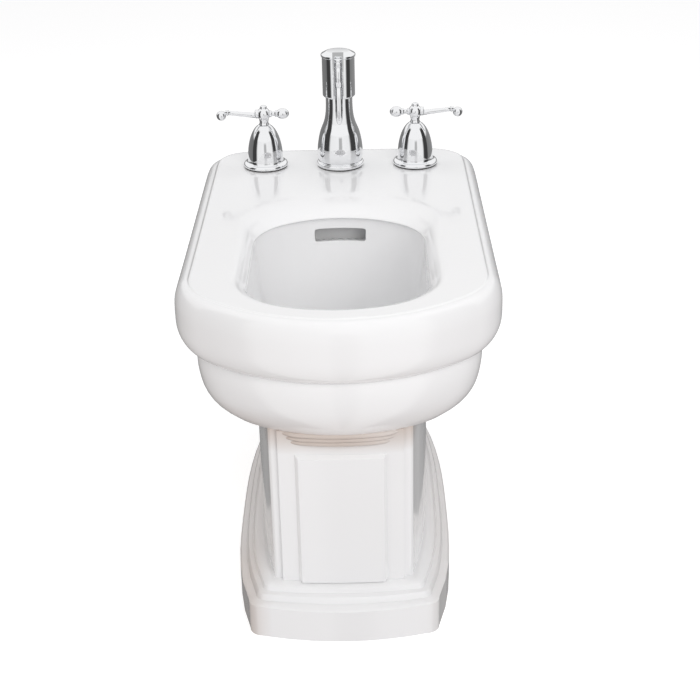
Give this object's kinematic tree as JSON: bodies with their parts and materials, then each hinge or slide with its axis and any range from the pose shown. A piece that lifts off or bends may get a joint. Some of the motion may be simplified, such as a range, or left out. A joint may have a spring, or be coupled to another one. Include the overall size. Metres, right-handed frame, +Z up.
{
  "type": "bidet",
  "caption": "Floor-standing white china bidet with moulded pedestal, vertical spray, chrome lever valves, vacuum-breaker tower and pop-up waste.",
  "frame": {"origin": "on the floor, under the middle of the rim's length and width", "axes": "+Z up; -Y towards the front lip, where the picture is taken from; +X to the right, the cold valve's side"},
  "size_m": [0.3724, 0.6042, 0.567],
  "materials": {
    "glazed_china": "glossy white glaze over vitreous china",
    "polished_chrome": "polished chrome plate",
    "plain_brass": "machined brass",
    "copper_tube": "drawn copper tube",
    "steel_plate": "zinc-plated steel",
    "seal_rubber": "moulded rubber",
    "white_plastic": "moulded plastic"
  },
  "bodies": {
    "bidet": {"breaker_seat": "white_plastic", "china_basin_dish": "glazed_china", "china_basin_wall": "glazed_china", "china_bowl": "glazed_china", "china_overflow": "glazed_china", "china_pedestal": "glazed_china", "china_rim": "glazed_china", "cold_cartridge": "plain_brass", "cold_escutcheon": "polished_chrome", "cold_feed_tube": "copper_tube", "cold_valve_body": "plain_brass", "compression_nuts": "plain_brass", "deck_washers": "seal_rubber", "drain_body": "plain_brass", "drain_flange": "polished_chrome", "drain_flange_seal": "seal_rubber", "drain_gasket": "seal_rubber", "drain_locknut": "plain_brass", "drain_washer": "steel_plate", "escutcheon_gaskets": "seal_rubber", "hot_cartridge": "plain_brass", "hot_escutcheon": "polished_chrome", "hot_feed_tube": "copper_tube", "hot_valve_body": "plain_brass", "pivot_nut": "plain_brass", "spray_body": "plain_brass", "spray_elbow": "plain_brass", "spray_gaskets": "seal_rubber", "spray_head": "polished_chrome", "spray_locknut": "plain_brass", "spray_tube": "copper_tube", "tailpiece": "polished_chrome", "tailpiece_nut": "polished_chrome", "tower_body": "polished_chrome", "tower_cap": "polished_chrome", "tower_clamp_plate": "steel_plate", "tower_gasket": "seal_rubber", "tower_hood": "polished_chrome", "tower_locknut": "plain_brass", "tower_manifold": "plain_brass", "tower_shank": "plain_brass", "valve_locknuts": "plain_brass"},
    "hot_handle": {"hot_handle_hub": "polished_chrome", "hot_lever": "polished_chrome", "hot_finial": "polished_chrome", "hot_set_screw": "polished_chrome", "hot_stem": "plain_brass"},
    "cold_handle": {"cold_handle_hub": "polished_chrome", "cold_lever": "polished_chrome", "cold_finial": "polished_chrome", "cold_set_screw": "polished_chrome", "cold_stem": "plain_brass"},
    "lift_rod": {"lift_knob": "polished_chrome", "lift_rod": "polished_chrome", "clevis_strap": "polished_chrome", "strap_screw": "polished_chrome"},
    "pivot_rod": {"pivot_rod": "polished_chrome"},
    "stopper": {"drain_stopper": "polished_chrome", "stopper_seal": "seal_rubber"},
    "breaker_poppet": {"breaker_poppet": "white_plastic"}
  },
  "joints": [
    {"name": "hot_handle_turn", "type": "hinge", "parent": "bidet", "child": "hot_handle", "pos_m": [-0.1016, 0.217, 0.483], "axis": [0, 0, 1], "range_deg": [0, 90]},
    {"name": "cold_handle_turn", "type": "hinge", "parent": "bidet", "child": "cold_handle", "pos_m": [0.1016, 0.217, 0.483], "axis": [0, 0, -1], "range_deg": [0, 90]},
    {"name": "lift_rod_slide", "type": "slide", "parent": "bidet", "child": "lift_rod", "axis": [0, 0, 1], "range_m": [0, 0.026]},
    {"name": "pivot_rod_tilt", "type": "hinge", "parent": "bidet", "child": "pivot_rod", "pos_m": [0, 0.027, 0.18], "axis": [1, 0, 0], "range_deg": [0, 17.53]},
    {"name": "stopper_slide", "type": "slide", "parent": "bidet", "child": "stopper", "axis": [0, 0, -1], "range_m": [0, 0.00826]},
    {"name": "breaker_poppet_slide", "type": "slide", "parent": "bidet", "child": "breaker_poppet", "axis": [0, 0, 1], "range_m": [0, 0.004]}
  ],
  "couplings": [
    {"joint": "pivot_rod_tilt", "follows": "lift_rod_slide", "rad_per_m": 11.765},
    {"joint": "stopper_slide", "follows": "lift_rod_slide", "ratio": 0.31765}
  ]
}
